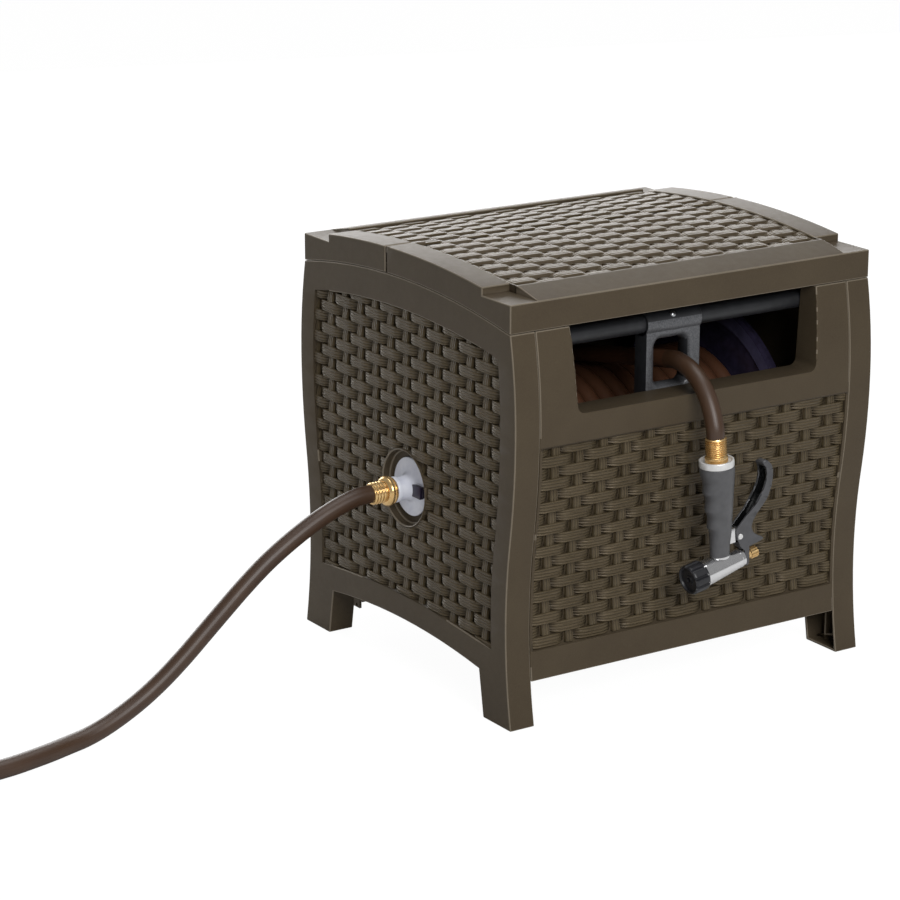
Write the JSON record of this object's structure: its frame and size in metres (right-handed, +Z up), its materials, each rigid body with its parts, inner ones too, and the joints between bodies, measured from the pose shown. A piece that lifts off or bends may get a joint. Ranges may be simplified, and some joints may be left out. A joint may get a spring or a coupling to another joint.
{
  "type": "hose reel box",
  "caption": "Wicker-look resin cabinet with a hinged lid, a crank reel of garden hose inside, a sliding hose guide in the front window, a nozzle and a leader hose.",
  "frame": {"origin": "on the ground, in the middle of the four feet", "axes": "+X to the right along the front, the front faces -Y, +Z up"},
  "size_m": [1.4659, 0.5496, 0.541],
  "materials": {
    "resin": "moulded resin with a woven relief",
    "dark_plastic": "moulded, satin",
    "smoky_plastic": "moulded, glossy",
    "rod_paint": "satin dark grey",
    "hammered_paint": "hammered grey",
    "white_plastic": "moulded",
    "brass": "bright, turned",
    "chrome": "plated",
    "steel": "zinc plated",
    "hose": "vinyl, satin",
    "seal_rubber": "matt",
    "grip_rubber": "soft touch"
  },
  "bodies": {
    "cabinet": {"side_panel_left": "resin", "side_panel_right": "resin", "front_panel": "resin", "rear_panel": "resin", "floor_panel": "resin", "lid_rear": "resin", "lid_hinge_pins": "steel", "guide_rod": "rod_paint", "rod_sockets": "resin", "panel_screws": "steel", "inlet_tube": "white_plastic", "inlet_lock_clip": "dark_plastic", "inlet_washer": "seal_rubber", "leader_ferrule": "brass", "leader_hose": "hose", "leader_coil": "hose", "tap_ferrule": "brass", "tap_washer": "seal_rubber", "bearing_bush_left": "dark_plastic", "bearing_bush_right": "dark_plastic"},
    "lid": {"lid_front": "resin"},
    "inlet_nut": {"inlet_nut": "brass"},
    "tap_nut": {"tap_nut": "brass"},
    "reel": {"reel_drum": "dark_plastic", "reel_flange_left": "smoky_plastic", "reel_flange_right": "smoky_plastic", "reel_out_tube": "white_plastic", "wound_hose": "hose", "wound_core": "hose", "crank_shaft": "dark_plastic", "crank_arm": "dark_plastic", "crank_screw": "steel", "handle_spindle": "steel"},
    "crank_handle": {"crank_handle": "dark_plastic"},
    "guide": {"guide_carriage": "hammered_paint", "guide_screw": "chrome", "wrap_hose": "hose", "tail_hose": "hose", "tail_ferrule": "brass", "nozzle_collar": "chrome", "nozzle_grip": "grip_rubber", "nozzle_barrel": "chrome", "trigger_pin": "chrome"},
    "trigger": {"nozzle_trigger": "grip_rubber"},
    "valve": {"valve_stem": "chrome"},
    "flow_nut": {"flow_nut": "brass"},
    "dial": {"spray_dial": "dark_plastic"}
  },
  "joints": [
    {"name": "lid_hinge", "type": "hinge", "parent": "cabinet", "child": "lid", "pos_m": [0, 0.034, 0.53659], "axis": [-1, 0, 0], "range_deg": [0, 95]},
    {"name": "inlet_nut_spin", "type": "hinge", "parent": "cabinet", "child": "inlet_nut", "pos_m": [-0.287, 0, 0.243], "axis": [1, 0, 0], "continuous": true},
    {"name": "tap_nut_spin", "type": "hinge", "parent": "cabinet", "child": "tap_nut", "pos_m": [-0.83286, 0.20229, 0.018], "axis": [0.9659, 0.2588, 0], "continuous": true},
    {"name": "reel_spin", "type": "hinge", "parent": "cabinet", "child": "reel", "pos_m": [0, 0, 0.243], "axis": [1, 0, 0], "continuous": true},
    {"name": "crank_handle_spin", "type": "hinge", "parent": "reel", "child": "crank_handle", "pos_m": [0.3, 0, 0.131], "axis": [1, 0, 0], "continuous": true},
    {"name": "guide_slide", "type": "slide", "parent": "cabinet", "child": "guide", "axis": [1, 0, 0], "range_m": [-0.13, 0.14]},
    {"name": "trigger_pull", "type": "hinge", "parent": "guide", "child": "trigger", "pos_m": [0.02792, -0.285, 0.20747], "axis": [0, -1, 0], "range_deg": [0, 14], "stiffness_Nm_per_rad": 0.6, "springref_deg": -17.19},
    {"name": "valve_slide", "type": "slide", "parent": "guide", "child": "valve", "axis": [0.9829, 0, 0.184], "range_m": [0, 0.0082]},
    {"name": "flow_nut_turn", "type": "hinge", "parent": "valve", "child": "flow_nut", "pos_m": [0.05373, -0.285, 0.17852], "axis": [0.9829, 0, 0.184], "continuous": true},
    {"name": "dial_turn", "type": "hinge", "parent": "guide", "child": "dial", "pos_m": [-0.02491, -0.285, 0.16381], "axis": [0.9829, 0, 0.184], "continuous": true}
  ],
  "couplings": [
    {"joint": "valve_slide", "follows": "trigger_pull", "m_per_rad": 0.0328}
  ]
}
